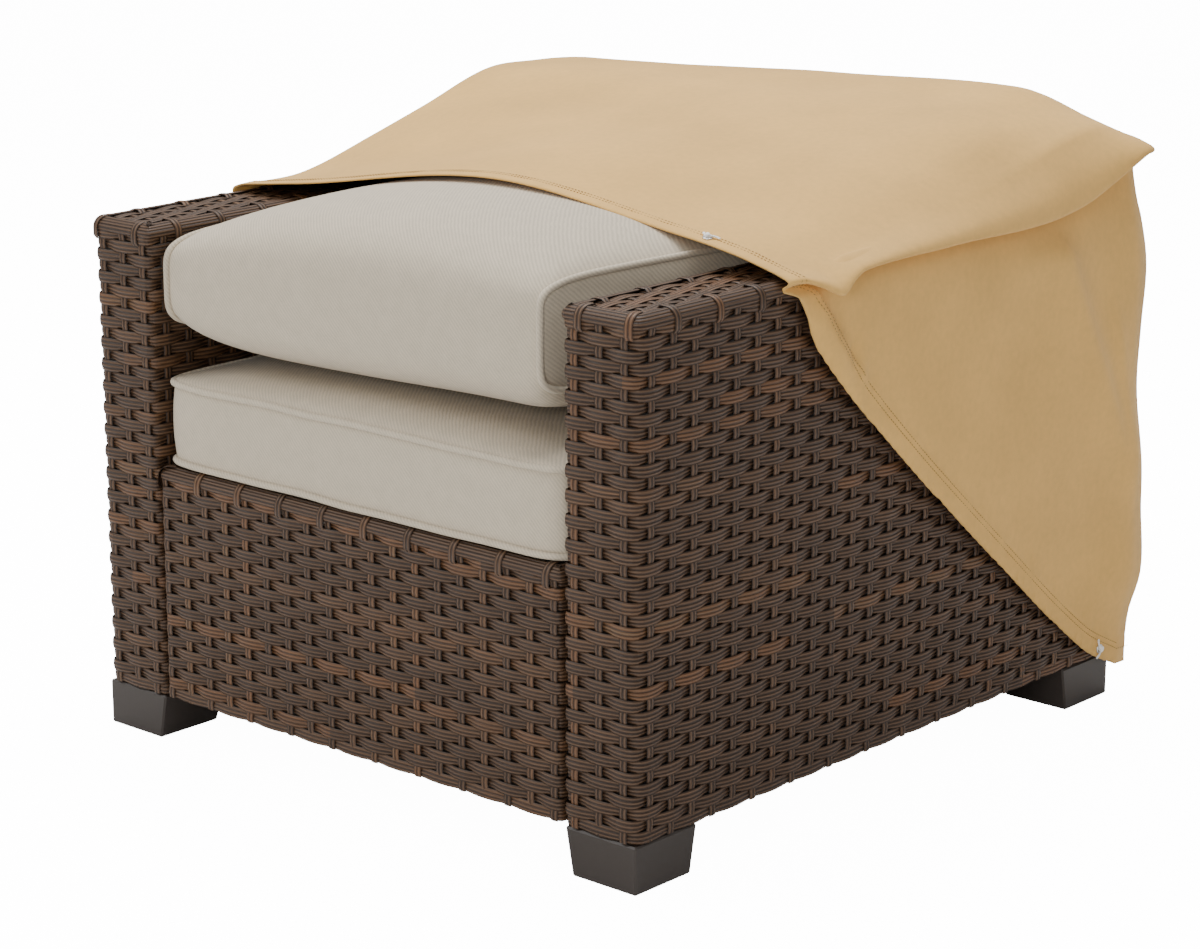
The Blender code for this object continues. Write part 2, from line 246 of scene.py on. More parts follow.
def add_box(bm, low, high):
    size = Vector(high) - Vector(low)
    middle = (Vector(high) + Vector(low)) / 2
    matrix = Matrix.Translation(middle) @ Matrix.Diagonal((*size, 1.0))
    return bmesh.ops.create_cube(bm, size=1.0, matrix=matrix)["verts"]


def box_between(low, high):
    bm = bmesh.new()
    add_box(bm, low, high)
    return bm


def add_ball(bm, segments, rings, place, size):
    """An ellipsoid with these half sizes, at a place given as a matrix."""
    matrix = place @ Matrix.Diagonal((*size, 1.0))
    bmesh.ops.create_uvsphere(bm, u_segments=segments, v_segments=rings, radius=1.0, matrix=matrix)


def cut(bm, point, normal, clear_inner=False):
    geometry = bm.verts[:] + bm.edges[:] + bm.faces[:]
    bmesh.ops.bisect_plane(
        bm, geom=geometry, dist=0.00001, plane_co=point, plane_no=normal, clear_inner=clear_inner
    )


def cut_loops(bm, axis, places):
    normal = Vector((0.0, 0.0, 0.0))
    normal[axis] = 1.0
    for place in places:
        cut(bm, normal * place, normal)


def smoothed(bm, verts, factor):
    bmesh.ops.smooth_vert(bm, verts=verts, factor=factor, use_axis_x=True, use_axis_y=True, use_axis_z=True)


def tie_down(obj):
    """Puts an object in the scene and ties it to the frame."""
    bpy.context.scene.collection.objects.link(obj)
    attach(obj, "root")


def finish_piece(name, bm, materials, replaced=()):
    """The object of a finished bmesh, set down round the chair's centre and tied to the frame."""
    bmesh.ops.translate(bm, vec=CHAIR_CENTRE, verts=bm.verts)
    mesh = bpy.data.meshes.new(name)
    bm.to_mesh(mesh)
    bm.free()
    for material in materials:
        mesh.materials.append(material)
    mesh.shade_smooth()
    obj = bpy.data.objects.new(name, mesh)
    tie_down(obj)
    if replaced:
        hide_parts(*replaced)
    return obj


def finish_tube(name, loops, radius, material):
    """Round piping along closed runs of points, as one curve."""
    curve = bpy.data.curves.new(name, "CURVE")
    curve.dimensions = "3D"
    curve.bevel_depth = radius
    curve.bevel_resolution = 2
    for points in loops:
        spline = curve.splines.new("POLY")
        spline.points.add(len(points) - 1)
        for knot, point in zip(spline.points, points):
            knot.co = (*(point + CHAIR_CENTRE), 1.0)
        spline.use_cyclic_u = True
        spline.use_smooth = True
    curve.materials.append(material)
    tie_down(bpy.data.objects.new(name, curve))


# Materials


def linked(tree, kind, inputs=(), **settings):
    """A new node with these settings, whose inputs are set from numbers or linked from sockets."""
    made = tree.nodes.new(kind)
    for key, value in settings.items():
        setattr(made, key, value)
    for socket, value in dict(inputs).items():
        if isinstance(value, bpy.types.NodeSocket):
            tree.links.new(value, made.inputs[socket])
        else:
            made.inputs[socket].default_value = value
    return made


def maths(tree, operation, first, second=0.0):
    return linked(tree, "ShaderNodeMath", {0: first, 1: second}, operation=operation).outputs[0]


def ramp(tree, factor, stops):
    """A colour ramp through (position, colour) stops."""
    made = linked(tree, "ShaderNodeValToRGB", {0: factor})
    elements = made.color_ramp.elements
    while len(elements) < len(stops):
        elements.new(0.5)
    for element, (position, colour) in zip(elements, stops):
        element.position = position
        element.color = (*colour, 1.0)
    return made.outputs["Color"]


def blended(tree, factor, first, second, kind="MIX"):
    """One colour laid over another."""
    made = tree.nodes.new("ShaderNodeMix")
    made.data_type = "RGBA"
    made.blend_type = kind
    for name, value in (("Factor_Float", factor), ("A_Color", first), ("B_Color", second)):
        socket = next(item for item in made.inputs if item.identifier == name)
        if isinstance(value, bpy.types.NodeSocket):
            tree.links.new(value, socket)
        elif name == "Factor_Float":
            socket.default_value = value
        else:
            socket.default_value = (*value, 1.0)
    return next(item for item in made.outputs if item.identifier == "Result_Color")


def plain_material(name, colour, roughness, metallic=0.0):
    material = bpy.data.materials.new(name)
    material.use_nodes = True
    shader = material.node_tree.nodes["Principled BSDF"]
    shader.inputs["Base Color"].default_value = (*colour, 1.0)
    shader.inputs["Roughness"].default_value = roughness
    shader.inputs["Metallic"].default_value = metallic
    material.diffuse_color = (*colour, 1.0)
    return material, material.node_tree, shader


def yarn_relief_group():
    """A node group of fine yarn grain: its height, and a broader mottle of slubs."""
    name = "yarn relief"
    if name in bpy.data.node_groups:
        return bpy.data.node_groups[name]
    group = bpy.data.node_groups.new(name, "ShaderNodeTree")
    for label, way, kind in (
        ("Vector", "INPUT", "Vector"),
        ("Yarns per metre", "INPUT", "Float"),
        ("Height", "OUTPUT", "Float"),
        ("Mottle", "OUTPUT", "Float"),
    ):
        group.interface.new_socket(label, in_out=way, socket_type="NodeSocket" + kind)
    entry = group.nodes.new("NodeGroupInput")
    leave = group.nodes.new("NodeGroupOutput")
    scaled = linked(
        group, "ShaderNodeVectorMath", {0: entry.outputs[0], "Scale": entry.outputs[1]}, operation="SCALE"
    ).outputs[0]
    grain = linked(group, "ShaderNodeTexNoise", {"Vector": scaled, "Scale": 0.8, "Detail": 2.0}).outputs[0]
    slubs = linked(group, "ShaderNodeTexNoise", {"Vector": scaled, "Scale": 0.09, "Detail": 3.0}).outputs[0]
    group.links.new(maths(group, "ADD", grain, maths(group, "MULTIPLY", slubs, 0.8)), leave.inputs["Height"])
    group.links.new(slubs, leave.inputs["Mottle"])
    return group


def yarn_relief(tree, vector, yarns):
    made = linked(tree, "ShaderNodeGroup", node_tree=yarn_relief_group())
    tree.links.new(vector, made.inputs["Vector"])
    made.inputs["Yarns per metre"].default_value = yarns
    return made.outputs["Height"], made.outputs["Mottle"]


def bump(tree, shader, height, strength, distance):
    made = linked(tree, "ShaderNodeBump", {"Strength": strength, "Distance": distance, "Height": height})
    tree.links.new(made.outputs["Normal"], shader.inputs["Normal"])


def cloth_tones(tree, shader, shade, colour, start, gain):
    """Colours cloth from a darker to a lighter tone as the shade rises from start to 1 - start."""
    low = tuple(channel * 0.80 for channel in colour)
    high = tuple(min(channel * gain, 1.0) for channel in colour)
    tree.links.new(ramp(tree, shade, ((start, low), (1 - start, high))), shader.inputs["Base Color"])


def weighed(tree, first, first_share, second, second_share):
    """The sum of two values, each times its share."""
    first, second = maths(tree, "MULTIPLY", first, first_share), maths(tree, "MULTIPLY", second, second_share)
    return maths(tree, "ADD", first, second)


def cloth_material(name, colour):
    """Woven cloth: a fine yarn grain and broad, faint clouding."""
    material, tree, shader = plain_material(name, colour, 0.85)
    place = linked(tree, "ShaderNodeTexCoord").outputs["Object"]
    height, mottle = yarn_relief(tree, place, COVER_YARNS)
    clouds = linked(tree, "ShaderNodeTexNoise", {"Vector": place, "Scale": 7.0, "Detail": 3.0}).outputs[0]
    cloth_tones(tree, shader, weighed(tree, mottle, 0.35, clouds, 0.65), colour, 0.2, 1.12)
    shader.inputs["Sheen Weight"].default_value = 0.1
    shader.inputs["Sheen Roughness"].default_value = 0.5
    bump(tree, shader, height, 0.25, 0.0004)
    return material


def twill_material(name, colour):
    """Soft upholstery twill: fine diagonal ribs."""
    material, tree, shader = plain_material(name, colour, 0.92)
    place = linked(tree, "ShaderNodeTexCoord").outputs["Object"]
    phase = linked(
        tree, "ShaderNodeVectorMath", {0: place, 1: (1230.0, 860.0, 1230.0)}, operation="DOT_PRODUCT"
    ).outputs["Value"]
    height, mottle = yarn_relief(tree, place, CUSHION_YARNS)
    drifting = maths(tree, "ADD", phase, maths(tree, "MULTIPLY", mottle, 5.0))
    ribs = maths(tree, "MULTIPLY", maths(tree, "ADD", maths(tree, "SINE", drifting), 1.0), 0.5)
    cloth_tones(tree, shader, weighed(tree, ribs, 0.35, height, 0.36), colour, 0.25, 1.10)
    shader.inputs["Sheen Weight"].default_value = 0.15
    bump(tree, shader, maths(tree, "ADD", height, ribs), 0.35, 0.0004)
    return material


def strand_material(name, colour):
    """Moulded resin strands: long ridges, painted shade in the grooves, painted highlights on the crests, and
    browns that change from strand to strand.
    """
    material, tree, shader = plain_material(name, colour, 0.48)
    shader.inputs["Specular IOR Level"].default_value = 0.35
    across = linked(tree, "ShaderNodeAttribute", attribute_name="across").outputs["Fac"]
    along = linked(tree, "ShaderNodeAttribute", attribute_name="along").outputs["Fac"]
    tint = linked(tree, "ShaderNodeAttribute", attribute_name="tint").outputs["Fac"]
    ridge = maths(tree, "ABSOLUTE", maths(tree, "COSINE", maths(tree, "MULTIPLY", across, 1.5 * math.pi)))
    place = linked(
        tree,
        "ShaderNodeCombineXYZ",
        {0: maths(tree, "MULTIPLY", along, 18.0), 1: maths(tree, "MULTIPLY", across, 5.0), 2: tint},
    ).outputs[0]
    streaks = linked(tree, "ShaderNodeTexNoise", {"Vector": place, "Scale": 1.0, "Detail": 3.0}).outputs[0]
    drift = maths(tree, "MULTIPLY", maths(tree, "SUBTRACT", streaks, 0.5), 0.7)
    shade = maths(tree, "ADD", maths(tree, "FRACT", tint), drift)
    red, green, blue = colour
    finish = ramp(
        tree,
        shade,
        (
            (0.00, (red * 0.62, green * 0.60, blue * 0.62)),
            (0.35, (red * 0.90, green * 0.88, blue * 0.92)),
            (0.65, (red * 1.20, green * 1.15, blue * 1.10)),
            (0.88, (red * 1.90, green * 1.50, blue * 1.10)),
            (1.00, (red * 1.50, green * 1.60, blue * 1.50)),
        ),
    )
    # Painted shade: the grooves between the ridges are blended towards a near-black brown.
    groove_shade_mask = maths(tree, "POWER", ridge, 0.6)
    dark = (red * 0.20, green * 0.18, blue * 0.18)
    # Painted highlight: a pale colour laid thinly over the ridge crests, where light catches them.
    painted_ridge_highlight = (red * 4.2, green * 4.6, blue * 5.0)
    body = blended(tree, groove_shade_mask, dark, finish)
    # Mask of the painted highlight: the ridge crests, broken up by the streaks.
    top = maths(tree, "MULTIPLY", maths(tree, "POWER", ridge, 7.0), maths(tree, "MULTIPLY", streaks, 0.55))
    tree.links.new(blended(tree, top, body, painted_ridge_highlight), shader.inputs["Base Color"])
    relief = maths(tree, "ADD", maths(tree, "POWER", ridge, 0.7), maths(tree, "MULTIPLY", streaks, 0.3))
    bump(tree, shader, relief, 0.8, 0.0012)
    return material


def plastic_material(name, colour):
    material, tree, shader = plain_material(name, colour, 0.45)
    place = linked(tree, "ShaderNodeTexCoord").outputs["Object"]
    grain = linked(tree, "ShaderNodeTexNoise", {"Vector": place, "Scale": 900.0, "Detail": 2.0}).outputs[0]
    bump(tree, shader, grain, 0.2, 0.0003)
    return material


# The cover


def top_height(x, y):
    row = [column_at(TOP_SECTIONS, column, y) for column in range(1, len(SECTION_X) + 1)]
    return curve_at(SECTION_X, row, x)


def pleat_point(step, y, top):
    """(x, z) of the right arm's pleat at a step from 0, on the cloth's top, to 1, on the wall."""
    lip_out = column_at(PLEAT_SECTIONS, 1, y)
    lip_z = column_at(PLEAT_SECTIONS, 2, y)
    crease_z = column_at(PLEAT_SECTIONS, 3, y)
    across = (
        COVER_HALF_WIDTH - ROLL_RADIUS,
        COVER_HALF_WIDTH + 0.85 * lip_out,
        COVER_HALF_WIDTH + lip_out,
        COVER_HALF_WIDTH - 0.0070,
        COVER_HALF_WIDTH + 0.002,
    )
    heights = (top, 0.4 * top + 0.6 * lip_z, lip_z, crease_z, ROLL_LOW)
    return curve_at(PLEAT_STEPS, across, step), curve_at(PLEAT_STEPS, heights, step)


def crease(distance, before, after):
    """A fold's height at a distance from its crest, with a softly rounded crest and uneven flanks."""
    reach = before if distance < 0 else after
    return math.exp(-(math.sqrt(distance * distance + 0.000012) - 0.0035) / reach)


def wall_stand_out(y, z, right):
    """How far a side wall stands out: its slack, and on the right the folds that run down from the pleat."""
    slack = WALL_SLACK * math.sin(math.pi * smooth_step(COVER_HEM, ROLL_LOW, z))
    fall = ROLL_LOW - z
    if not right:
        return slack + 0.007 * bell(y - 0.270 - 0.52 * fall, 0.030) * smooth_step(0.30, 0.45, z)
    folds = 0.0
    for height, start, lean, before, after, foot, full, head, below_head in RIGHT_FOLDS:
        ends = smooth_step(foot, full, z) * smooth_step(head, below_head, z)
        folds += height * crease(y - start - lean * fall, before, after) * ends
    nose_line = y + 0.149 - 0.72 * fall
    nose_fold = 0.0090 * bell(nose_line + 0.026, 0.015) - 0.004 * bell(nose_line, 0.010)
    knuckle = 0.006 * bell(y + 0.082, 0.012) * bell(z - 0.494, 0.008)
    return slack + folds + nose_fold * smooth_step(0.125, 0.060, fall) + knuckle


def back_stand_out(x, z):
    depth = 0.001 + 0.006 * smooth_step(ROLL_LOW, COVER_HEM, z)
    return depth * (1 + math.cos(2 * math.pi * x / 0.19 + 0.6))


def hem_plane():
    """A point on the slanting plane of the side hems, and its normal, up and back."""
    start = Vector((0.0, COVER_FRONT, SIDE_HEM_START))
    along = Vector((0.0, COVER_BACK, COVER_HEM)) - start
    return start, Vector((1.0, 0.0, 0.0)).cross(along).normalized()


def hem_inset(place):
    """How far inside the hem a point of the box-shaped cover lies."""
    start, normal = hem_plane()
    return min(place.y - COVER_FRONT, (place - start).dot(normal))


def side_hem_height(y):
    """The height of the box-shaped cover's side hem."""
    return SIDE_HEM_START + (COVER_HEM - SIDE_HEM_START) * (y - COVER_FRONT) / (COVER_BACK - COVER_FRONT)


def draped(place):
    """Where a point of the box-shaped cover lies once it is draped."""
    side = math.copysign(1.0, place.x)
    on_side = abs(place.x) > COVER_HALF_WIDTH - GAP
    on_back = place.y > COVER_BACK - GAP
    x = place.x * (COVER_HALF_WIDTH - ROLL_RADIUS) / COVER_HALF_WIDTH
    y = COVER_FRONT + (place.y - COVER_FRONT) * (1 - ROLL_RADIUS / (COVER_BACK - COVER_FRONT))
    step = min((COVER_TOP - place.z) / (COVER_TOP - ROLL_LOW), 1.0)
    top = top_height(x, y)
    z = top + (ROLL_LOW - top) * step if place.z > ROLL_LOW else place.z
    rolled = ROLL_RADIUS * math.sin(min(step / 0.3, 1.0) * math.pi / 2)

    if place.z < ROLL_LOW:
        share = (ROLL_LOW - place.z) / max(ROLL_LOW - side_hem_height(place.y), 0.02)
        z -= column_at(HEM_SAG, 1, place.y) * min(share, 1.0)
    if on_side:
        x = side * (COVER_HALF_WIDTH - ROLL_RADIUS + rolled)
    if on_back:
        y += rolled + back_stand_out(x, z) * smooth_step(0.0, 1.0, step)
    if side > 0 and place.z > ROLL_LOW and (on_side or on_back):
        pleat_x, pleat_z = pleat_point(step, y, top)
        share = 1.0
        if not on_side:
            share = smooth_step(COVER_HALF_WIDTH - PLEAT_REACH, COVER_HALF_WIDTH - ROLL_RADIUS, x)
        x += share * (pleat_x - (COVER_HALF_WIDTH - ROLL_RADIUS + rolled))
        z += share * (pleat_z - z)
    elif on_side:
        x += side * wall_stand_out(y, z, side > 0) * smooth_step(ROLL_LOW, ROLL_LOW - 0.025, z)
        x += side * 0.002 * step

    from_side = 0.0 if on_side else COVER_HALF_WIDTH - abs(x)
    from_back = 0.0 if on_back else COVER_BACK - y
    if on_side or on_back:
        reach = bell(from_side + from_back, CORNER_REACH) * smooth_step(0.4, 1.0, step)
        fold = reach * column_at(CORNER_FOLDS, 1, z)
        x += side * fold * 0.7
        y += fold * 0.5 if on_back else 0.0
    return Vector((x, y, z))


def cover_mesh(hem_width):
    """The draped sheet, still without thickness."""
    low = (-COVER_HALF_WIDTH, COVER_FRONT, COVER_HEM)
    high = (COVER_HALF_WIDTH, COVER_BACK, COVER_TOP)
    bm = box_between(low, high)
    open_faces = [
        face
        for face in bm.faces
        if all(vert.co.z < COVER_HEM + GAP for vert in face.verts)
        or all(vert.co.y < COVER_FRONT + GAP for vert in face.verts)
    ]
    bmesh.ops.delete(bm, geom=open_faces, context="FACES")
    start, normal = hem_plane()
    cut(bm, start, normal, clear_inner=True)
    for inset in (hem_width - 0.001, hem_width + 0.001):
        cut(bm, start + normal * inset, normal)
        cut_loops(bm, 1, [COVER_FRONT + inset])
    cut_loops(bm, 0, evenly(low[0], high[0], CLOTH_ACROSS))
    cut_loops(bm, 1, evenly(low[1], high[1], CLOTH_DEEP))
    cut_loops(bm, 2, evenly(COVER_HEM, ROLL_LOW, CLOTH_DOWN))
    cut_loops(bm, 2, evenly(ROLL_LOW, COVER_TOP, ROLL_STEPS) + [ROLL_LOW])
    bmesh.ops.remove_doubles(bm, verts=bm.verts, dist=0.0012)
    inset_layer = bm.verts.layers.float.new("inset")
    for vert in bm.verts:
        vert[inset_layer] = hem_inset(vert.co)
        vert.co = draped(vert.co)
    bmesh.ops.recalc_face_normals(bm, faces=bm.faces[:])
    inner = [vert for vert in bm.verts if not vert.is_boundary]
    smoothed(bm, bm.verts, 0.3)
    smoothed(bm, inner, 0.2)
    bm.normal_update()
    for vert in bm.verts:
        inset = vert[inset_layer]
        folded = 1.0 if inset < hem_width else 0.0
        pucker = noise.noise(vert.co * 38.0) * bell(inset - hem_width, PUCKER_REACH)
        slack = noise.noise(vert.co * 9.0) * smooth_step(0.0, 0.1, inset)
        vert.co += vert.normal * (HEM_LIFT * folded + PUCKER_HEIGHT * pucker + SLACK_HEIGHT * slack)
    return bm


def hem_path(inset):
    """Points of the box-shaped cover along its hem, this far inside it, from left to right."""
    start, normal = hem_plane()
    slope = Vector((0.0, COVER_BACK, COVER_HEM)) - start
    side = []
    for step in range(241):
        place = start + normal * inset + slope * (step / 240)
        if COVER_FRONT + inset < place.y < COVER_BACK:
            side.append(place)
    corner_z = side[0].z
    side.reverse()
    front = COVER_FRONT + inset
    side += [Vector((0.0, front, z)) for z in evenly(corner_z, COVER_TOP, 24)]
    left = [Vector((-COVER_HALF_WIDTH, place.y, place.z)) for place in side]
    right = [Vector((COVER_HALF_WIDTH, place.y, place.z)) for place in reversed(side)]
    places = [-COVER_HALF_WIDTH, *evenly(-COVER_HALF_WIDTH, COVER_HALF_WIDTH, 200), COVER_HALF_WIDTH]
    return left + [Vector((x, front, COVER_TOP)) for x in places] + right


def outward_at(place):
    """The draped cloth's outward normal at a point of the box-shaped cover."""
    small = 0.003
    if place.z > COVER_TOP - GAP:
        first, second = Vector((small, 0.0, 0.0)), Vector((0.0, small, 0.0))
        if abs(place.x + small) > COVER_HALF_WIDTH:
            place = place - Vector((small, 0.0, 0.0)) * math.copysign(1.0, place.x)
    else:
        side = math.copysign(1.0, place.x)
        first, second = Vector((0.0, small * side, 0.0)), Vector((0.0, 0.0, small))
    here = draped(place)
    return (draped(place + first) - here).cross(draped(place + second) - here).normalized()


def standing(point, along, outward):
    """A matrix at a point whose X runs along and whose Z points outwards."""
    side = outward.cross(along).normalized()
    return Matrix.Translation(point) @ Matrix((along, side, along.cross(side))).transposed().to_4x4()


def build_stitching(settings, material):
    """Two rows of thread stitches along the front and side hems."""
    bm = bmesh.new()
    length, pitch = settings.stitch_length, settings.stitch_length * 1.35
    for inset in (settings.hem_width - 0.0028, settings.hem_width - 0.0078):
        places = hem_path(inset)
        points = [draped(place) for place in places]
        walked, target = 0.0, 0.0
        for i in range(len(points) - 1):
            run = points[i + 1] - points[i]
            if run.length < 1e-7:
                continue
            while target < walked + run.length:
                t = (target - walked) / run.length
                outward = outward_at(places[i])
                along = (run.normalized() - outward * run.normalized().dot(outward)).normalized()
                lift = settings.cloth_thickness / 2 + 0.0010
                turn = standing(points[i] + run * t + outward * lift, along, outward)
                add_ball(bm, 5, 4, turn, (length / 2, 0.00055, 0.00045))
                target += pitch
            walked += run.length
    return finish_piece("hem_stitching", bm, [material])


def build_eyelet(name, place, metal, cord):
    """A metal eyelet with the short tie knotted through it."""
    outward = outward_at(place)
    centre = draped(place) + outward * (EYELET_WIRE_RADIUS + 0.0010)
    along = UP if abs(outward.z) < 0.9 else Vector((1.0, 0.0, 0.0))
    along = (along - outward * along.dot(outward)).normalized()
    turn = standing(centre, along, outward)
    bm = bmesh.new()
    made = bmesh.ops.create_circle(bm, cap_ends=False, radius=EYELET_WIRE_RADIUS, segments=10)
    ring = made["verts"]
    bmesh.ops.rotate(bm, verts=ring, cent=(0, 0, 0), matrix=Matrix.Rotation(math.radians(90), 3, "X"))
    bmesh.ops.translate(bm, verts=ring, vec=(EYELET_RADIUS, 0.0, 0.0))
    bmesh.ops.spin(
        bm, geom=bm.edges[:], cent=(0, 0, 0), axis=(0, 0, 1), angle=math.tau, steps=28, use_merge=True
    )
    bmesh.ops.recalc_face_normals(bm, faces=bm.faces[:])
    bmesh.ops.transform(bm, matrix=turn, verts=bm.verts)
    finish_piece(f"{name}_eyelet_ring", bm, [metal], [f"{name}_eyelet"])

    bm = bmesh.new()
    for tilt, size, lift in (
        (0.5, (0.0048, 0.0030, 0.0023), 0.0020),
        (-0.7, (0.0042, 0.0026, 0.0021), 0.0034),
        (1.4, (0.0038, 0.0021, 0.0017), 0.0014),
    ):
        lobe = turn @ Matrix.Translation((0.0, 0.0, lift)) @ Matrix.Rotation(tilt, 4, "Z")
        add_ball(bm, 14, 8, lobe, size)
    for angle, reach in ((0.35, 0.0105), (2.6, 0.0090)):
        for step in range(6):
            t = step / 5
            bead = turn @ Matrix.Rotation(angle, 4, "Z") @ Matrix.Translation(
                (0.002 + reach * t, 0.0015 * math.sin(3 * t), 0.0026 - 0.0014 * t)
            )
            add_ball(bm, 8, 5, bead, (0.0019, 0.0012 + 0.0005 * t, 0.0010))
    finish_piece(f"{name}_tie_knot", bm, [cord], [f"{name}_tie"])


# The weave


def weave_layers(bm):
    return [bm.verts.layers.float.new(name) for name in ("across", "along", "tint")]


def lay_strand(bm, layers, stations, ridges, tint, across=4, crown=STRAND_CROWN):
    """One strand: a grid along stations of (point, outward, along, out, half width)."""
    last = len(stations) - 1
    made = bmesh.ops.create_grid(bm, x_segments=last, y_segments=across, size=1.0)
    spans = [0.0]
    for i in range(last):
        spans.append(spans[-1] + (stations[i + 1][0] - stations[i][0]).length)
    for vert in made["verts"]:
        i = round((vert.co.x + 1) / 2 * last)
        v = vert.co.y
        point, outward, along, out, half = stations[i]
        aside = outward.cross(along)
        vert.co = point + aside * (half * v) + outward * (out - crown * v * v)
        vert[layers[0]] = v if ridges == 3 else v * 2 / 3 + 1 / 3
        vert[layers[1]] = spans[i]
        vert[layers[2]] = tint


def walk(corners, radii, spacing):
    """Points every spacing along a run of corners rounded in plan, as (point, along)."""
    dense = []
    for i, corner in enumerate(corners):
        corner = Vector(corner)
        if 0 < i < len(corners) - 1:
            radius = radii[i - 1]
            before = (Vector(corners[i - 1]) - corner).normalized()
            after = (Vector(corners[i + 1]) - corner).normalized()
            for step in range(9):
                t = step / 8
                first, last = corner + before * radius, corner + after * radius
                dense.append(first * (1 - t) ** 2 + corner * 2 * t * (1 - t) + last * t * t)
        else:
            dense.append(corner)
    made, walked, target = [], 0.0, 0.0
    for i in range(len(dense) - 1):
        run = dense[i + 1] - dense[i]
        while target <= walked + run.length + 1e-9:
            made.append((dense[i] + run * ((target - walked) / run.length), run.normalized()))
            target += spacing
        walked += run.length
    return made


def plan_path(first_x, second_x, open_y, closed_y, radii, deepest=1.0):
    """The path of a wall that runs from open_y to closed_y, across, and back again, with rounded corners."""
    inwards = math.copysign(1.0, second_x - first_x)

    def path(inset, spacing):
        first, second = first_x + inwards * inset, second_x - inwards * inset
        across_y = closed_y + math.copysign(min(inset, deepest), open_y - closed_y)
        corners = ((first, open_y), (first, across_y), (second, across_y), (second, open_y))
        return walk([(*corner, 0.0) for corner in corners], radii, spacing)

    return path


def brown(rng):
    """A strand's place among the browns, most of them dark."""
    return 0.98 * rng.random() ** 2.2 + rng.randrange(40)


def weave_wall(
    bm, layers, rng, settings, path, outside, low, high, narrow=None, across=4, steps=STRIDE_STEPS
):
    """A plain-woven wall: strands along a path in plan, over and under upright stakes.

    path(inset, spacing) gives (point, along) stations in plan at an inset from the wall's face, and outside
    is +1 where the outward side lies to the right of the way along the path.
    """
    stride = settings.stake_spacing
    rows = round((high - low) / settings.row_pitch)
    pitch = (high - low) / rows
    for row in range(rows):
        z = low + pitch * (row + 0.5)
        inset = STRAND_SWING + (narrow(z) if narrow else 0.0)
        stations = []
        for i, (point, along) in enumerate(path(inset, stride / steps)):
            outward = along.cross(UP) * outside
            wave = math.cos(math.pi * (i / steps + row))
            swing = STRAND_SWING * wave * (1.25 - 0.25 * wave * wave)
            if row == 0:
                swing *= BOTTOM_ROW_SWING
            half = pitch * (ROW_FILL + 0.01 * wave) * (1.0 if wave > 0 else 1 + 0.08 * wave)
            stations.append((Vector((point.x, point.y, z)), outward, along, swing, half))
        first = 0
        while first < len(stations) - 1:
            last = min(first + rng.randrange(*STRAND_STAKES) * steps, len(stations) - 1)
            last = len(stations) - 1 if len(stations) - 1 - last < 4 * steps else last
            lay_strand(bm, layers, stations[first : last + 1], 3, brown(rng), across)
            first = last
    for k, (point, along) in enumerate(path(STRAND_SWING, stride)):
        outward = along.cross(UP) * outside
        top = high if narrow is None else max(z for z in evenly(low, high, 60) if narrow(z) < 0.010)
        stations = []
        for step in range(rows * 2 + 1):
            z = low + (top - low) * step / (rows * 2)
            wave = -math.cos(math.pi * ((z - low) / pitch - 0.5 + k))
            lift = STAKE_LIFT + STAKE_SWING * wave
            stations.append((Vector((point.x, point.y, z)), outward, UP, lift, STAKE_HALF_WIDTH))
        lay_strand(bm, layers, stations, 2, brown(rng), 2)


def lay_border(bm, layers, rng, stations, top):
    """A rolled border along a top edge, of two strands bent over it, tied down by short wraps."""
    for low, high in BORDER_STRANDS:
        last = len(stations) - 1
        made = bmesh.ops.create_grid(bm, x_segments=last, y_segments=3, size=1.0)
        tint = brown(rng)
        for vert in made["verts"]:
            i = round((vert.co.x + 1) / 2 * last)
            v = vert.co.y
            point, outward = stations[i]
            angle = math.radians(low + (high - low) * (v + 1) / 2)
            reach = BORDER_RADIUS + 0.0006 - 0.0009 * v * v
            centre = Vector((point.x, point.y, top - BORDER_RADIUS)) - outward * BORDER_RADIUS
            vert.co = centre + outward * (reach * math.cos(angle)) + UP * (reach * math.sin(angle))
            vert[layers[0]] = v
            vert[layers[1]] = i * BORDER_STEP
            vert[layers[2]] = tint
        facing = made["verts"][0].link_faces[0]
        facing.normal_update()
        if facing.normal.dot(stations[0][1] + UP) < 0:
            faces = {face for vert in made["verts"] for face in vert.link_faces}
            bmesh.ops.reverse_faces(bm, faces=list(faces))
    for i in range(WRAP_FROM, len(stations) - 1, WRAP_EVERY):
        point, outward = stations[i]
        centre = Vector((point.x, point.y, top - BORDER_RADIUS)) - outward * BORDER_RADIUS
        reach = BORDER_RADIUS + 0.0016
        run = [(centre + outward * (reach - 0.003) - UP * 0.013, outward, UP)]
        run += [(centre + outward * reach - UP * drop, outward, UP) for drop in (0.009, 0.004)]
        for step in range(7):
            angle = math.radians(15 * step)
            normal = outward * math.cos(angle) + UP * math.sin(angle)
            along = UP * math.cos(angle) - outward * math.sin(angle)
            run.append((centre + normal * reach, normal, along))
        inwards = -outward
        run += [(centre + UP * reach + inwards * reach_in, UP, inwards) for reach_in in (0.004, 0.008)]
        run.append((centre + UP * (reach - 0.0035) + inwards * 0.012, UP, inwards))
        lay_strand(bm, layers, [(*place, 0.0, WRAP_HALF_WIDTH) for place in run], 2, brown(rng), 4, 0.0006)


def shade_backing(bm, low, high):
    """A box behind the weave in place of the frame, on the near-black second material: painted shade for the
    inside of the chair, seen through the gaps.
    """
    verts = add_box(bm, low, high)
    half_height = (high[2] - low[2]) / 2
    edges = {edge for vert in verts for edge in vert.link_edges}
    upright = [edge for edge in edges if abs(edge.verts[0].co.z - edge.verts[1].co.z) > half_height]
    # Painted shade: the box's faces take the near-black second material.
    for face in {face for vert in verts for face in vert.link_faces}:
        face.material_index = 1
    bmesh.ops.bevel(
        bm, geom=upright, offset=CORNER_RADIUS, segments=4, profile=0.5, affect="EDGES", material=-1
    )


